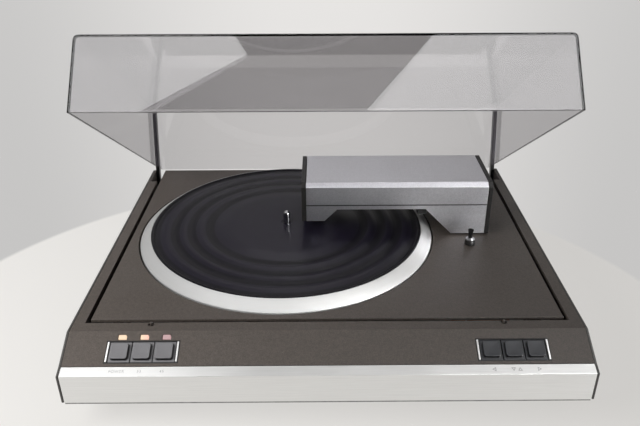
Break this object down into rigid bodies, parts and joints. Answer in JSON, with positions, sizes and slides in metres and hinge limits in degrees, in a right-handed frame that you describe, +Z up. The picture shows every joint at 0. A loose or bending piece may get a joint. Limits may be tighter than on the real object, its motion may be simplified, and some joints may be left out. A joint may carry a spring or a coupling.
{
  "type": "turntable",
  "caption": "Low direct-drive record deck with a floating deck plate, a short arm under a swivelling silver bridge, a control slope with push buttons and a hinged clear dust cover",
  "frame": {"origin": "middle of the whole object's footprint with the cover standing open, on the surface that the feet stand on", "axes": "+Z up, the control slope faces -Y, +X runs to the right as seen from the front"},
  "size_m": [0.452, 0.4158, 0.3005],
  "materials": {
    "fascia_metal": "satin anodised",
    "platter_metal": "satin turned",
    "bridge_metal": "fine satin silver paint",
    "deck_paint": "fine speckled satin paint",
    "side_plastic": "matt",
    "end_plastic": "satin",
    "black_plastic": "matt",
    "grey_cap": "satin",
    "dark_cap": "satin",
    "lamp_lens": "clear lamp window",
    "mat_rubber": "matt",
    "foot_rubber": "matt",
    "steel": "turned",
    "zinc_sheet": "plated sheet",
    "copper": "enamelled windings",
    "brass": "turned",
    "board": "circuit board",
    "magnet": "sintered",
    "bristles": "fine black bristles",
    "acrylic": "clear smoked sheet, polished"
  },
  "bodies": {
    "plinth": {"side_panel_left": "side_plastic", "side_panel_right": "side_plastic", "front_fascia": "fascia_metal", "top_frame": "deck_paint", "rear_panel": "side_plastic", "mains_inlet": "black_plastic", "output_sockets": "brass", "ground_terminal": "brass", "base_tray": "zinc_sheet", "foot_front_left": "foot_rubber", "foot_front_right": "foot_rubber", "foot_rear_left": "foot_rubber", "foot_rear_right": "foot_rubber", "transformer": "copper", "main_board": "board", "control_board": "board", "spring_front_left": "steel", "spring_front_right": "steel", "spring_rear_left": "steel", "spring_rear_right": "steel", "button_bezel_left": "black_plastic", "button_bezel_right": "black_plastic", "indicator_lenses": "lamp_lens", "hinge_bracket_left": "steel", "hinge_bracket_right": "steel", "cover_bumper_left": "foot_rubber", "cover_bumper_right": "foot_rubber"},
    "floating_deck": {"subchassis": "deck_paint", "motor_stator": "copper", "bearing_housing": "brass", "bridge_post": "steel", "brush_base": "black_plastic", "brush_ferrule": "steel", "brush_bristles": "bristles"},
    "platter_unit": {"platter": "platter_metal", "platter_mat": "mat_rubber", "spindle": "steel", "rotor_magnet": "magnet"},
    "bridge": {"bridge_frame": "bridge_metal", "bridge_cover": "bridge_metal", "bridge_end_left": "end_plastic", "bridge_end_right": "end_plastic", "guide_rod": "steel", "servo_motor": "zinc_sheet"},
    "screw": {"lead_screw": "brass"},
    "carriage_unit": {"carriage": "end_plastic"},
    "arm_unit": {"tonearm": "steel", "cartridge": "black_plastic", "stylus": "steel", "counterweight": "brass"},
    "lid": {"dust_cover": "acrylic", "hinge_arm_left": "black_plastic", "hinge_arm_right": "black_plastic"},
    "button_power": {"button_power": "grey_cap"},
    "button_speed_low": {"button_speed_low": "grey_cap"},
    "button_speed_high": {"button_speed_high": "grey_cap"},
    "button_arm_back": {"button_arm_back": "dark_cap"},
    "button_lift": {"button_lift": "dark_cap"},
    "button_arm_in": {"button_arm_in": "dark_cap"}
  },
  "joints": [
    {"name": "suspension_float", "type": "slide", "parent": "plinth", "child": "floating_deck", "axis": [0, 0, 1], "range_m": [-0.0015, 0.0015], "stiffness_N_per_m": 24000, "springref_m": 0.00263, "deforming": ["spring_front_left", "spring_front_right", "spring_rear_left", "spring_rear_right"]},
    {"name": "platter_spin", "type": "hinge", "parent": "floating_deck", "child": "platter_unit", "pos_m": [-0.043, 0.01233, 0.0753], "axis": [0, 0, 1], "continuous": true},
    {"name": "bridge_swing", "type": "hinge", "parent": "floating_deck", "child": "bridge", "pos_m": [0.15665, 0.04033, 0.0953], "axis": [0, 0, 1], "range_deg": [0, 90]},
    {"name": "carriage_travel", "type": "slide", "parent": "bridge", "child": "carriage_unit", "axis": [-1, 0, 0], "range_m": [0, 0.086]},
    {"name": "lead_screw_spin", "type": "hinge", "parent": "bridge", "child": "screw", "pos_m": [0.05, 0.06033, 0.1253], "axis": [1, 0, 0], "range_deg": [0, 7745]},
    {"name": "tonearm_lift", "type": "hinge", "parent": "carriage_unit", "child": "arm_unit", "pos_m": [0.103, 0.05233, 0.1133], "axis": [1, 0, 0], "range_deg": [0, 10.9]},
    {"name": "cover_hinge", "type": "hinge", "parent": "plinth", "child": "lid", "pos_m": [0, 0.16633, 0.0253], "axis": [1, 0, 0], "range_deg": [0, 32]},
    {"name": "button_power_press", "type": "slide", "parent": "plinth", "child": "button_power", "axis": [0, 0.4423, -0.8969], "range_m": [0, 0.0015], "stiffness_N_per_m": 800, "springref_m": -0.001},
    {"name": "button_speed_low_press", "type": "slide", "parent": "plinth", "child": "button_speed_low", "axis": [0, 0.4423, -0.8969], "range_m": [0, 0.0015], "stiffness_N_per_m": 800, "springref_m": -0.001},
    {"name": "button_speed_high_press", "type": "slide", "parent": "plinth", "child": "button_speed_high", "axis": [0, 0.4423, -0.8969], "range_m": [0, 0.0015], "stiffness_N_per_m": 800, "springref_m": -0.001},
    {"name": "button_arm_back_press", "type": "slide", "parent": "plinth", "child": "button_arm_back", "axis": [0, 0.4423, -0.8969], "range_m": [0, 0.0015], "stiffness_N_per_m": 800, "springref_m": -0.001},
    {"name": "button_lift_press", "type": "slide", "parent": "plinth", "child": "button_lift", "axis": [0, 0.4423, -0.8969], "range_m": [0, 0.0015], "stiffness_N_per_m": 800, "springref_m": -0.001},
    {"name": "button_arm_in_press", "type": "slide", "parent": "plinth", "child": "button_arm_in", "axis": [0, 0.4423, -0.8969], "range_m": [0, 0.0015], "stiffness_N_per_m": 800, "springref_m": -0.001}
  ],
  "couplings": [
    {"joint": "lead_screw_spin", "follows": "carriage_travel", "rad_per_m": 1570.8}
  ]
}
